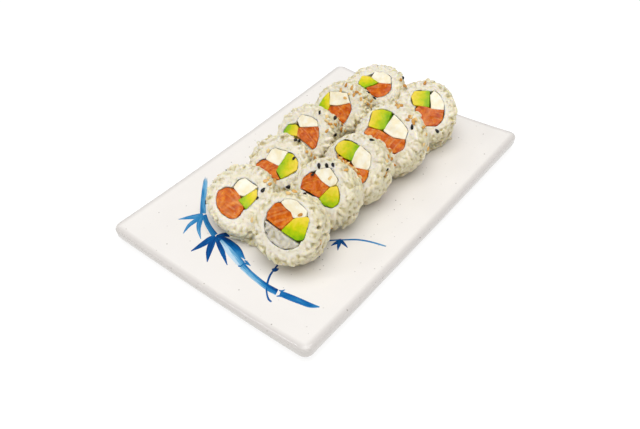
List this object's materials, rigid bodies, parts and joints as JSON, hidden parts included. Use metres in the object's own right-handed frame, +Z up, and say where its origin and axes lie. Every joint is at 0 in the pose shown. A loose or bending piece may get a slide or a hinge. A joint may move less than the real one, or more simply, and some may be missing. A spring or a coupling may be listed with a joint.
{
  "type": "uramaki rolls on a plate",
  "caption": "Uramaki pieces of rice, nori, salmon, cream cheese and avocado leaning in two rows on a rectangular glazed plate.",
  "frame": {"origin": "on the surface the plate stands on, under the middle of the plate", "axes": "+Y along the plate's long side and the two rows, from the near rolls to the far ones; +X along the short side; +Z up"},
  "size_m": [0.15, 0.222, 0.0483],
  "materials": {
    "plate": "glossy white glaze with fine specks and a blue brushed bamboo pattern",
    "rice": "moist cooked rice, satin, with sesame seeds",
    "nori": "dark green dried seaweed, satin",
    "salmon": "moist orange raw salmon with pale fat lines",
    "cheese": "smooth cream cheese, satin",
    "avocado": "soft avocado flesh, yellow turning green, satin"
  },
  "bodies": {
    "root": {"plate": "plate", "left_1_rice": "rice", "left_1_nori": "nori", "left_1_salmon": "salmon", "left_1_cheese": "cheese", "left_1_avocado": "avocado", "left_2_rice": "rice", "left_2_nori": "nori", "left_2_salmon": "salmon", "left_2_cheese": "cheese", "left_2_avocado": "avocado", "left_3_rice": "rice", "left_3_nori": "nori", "left_3_salmon": "salmon", "left_3_cheese": "cheese", "left_3_avocado": "avocado", "left_4_rice": "rice", "left_4_nori": "nori", "left_4_salmon": "salmon", "left_4_cheese": "cheese", "left_4_avocado": "avocado", "left_5_rice": "rice", "left_5_nori": "nori", "left_5_salmon": "salmon", "left_5_cheese": "cheese", "left_5_avocado": "avocado", "right_1_rice": "rice", "right_1_nori": "nori", "right_1_salmon": "salmon", "right_1_cheese": "cheese", "right_1_avocado": "avocado", "right_1_inner_rice": "rice", "right_2_rice": "rice", "right_2_nori": "nori", "right_2_salmon": "salmon", "right_2_cheese": "cheese", "right_2_avocado": "avocado", "right_3_rice": "rice", "right_3_nori": "nori", "right_3_salmon": "salmon", "right_3_cheese": "cheese", "right_3_avocado": "avocado", "right_4_rice": "rice", "right_4_nori": "nori", "right_4_salmon": "salmon", "right_4_cheese": "cheese", "right_4_avocado": "avocado", "right_5_rice": "rice", "right_5_nori": "nori", "right_5_salmon": "salmon", "right_5_cheese": "cheese", "right_5_avocado": "avocado"}
  },
  "joints": []
}
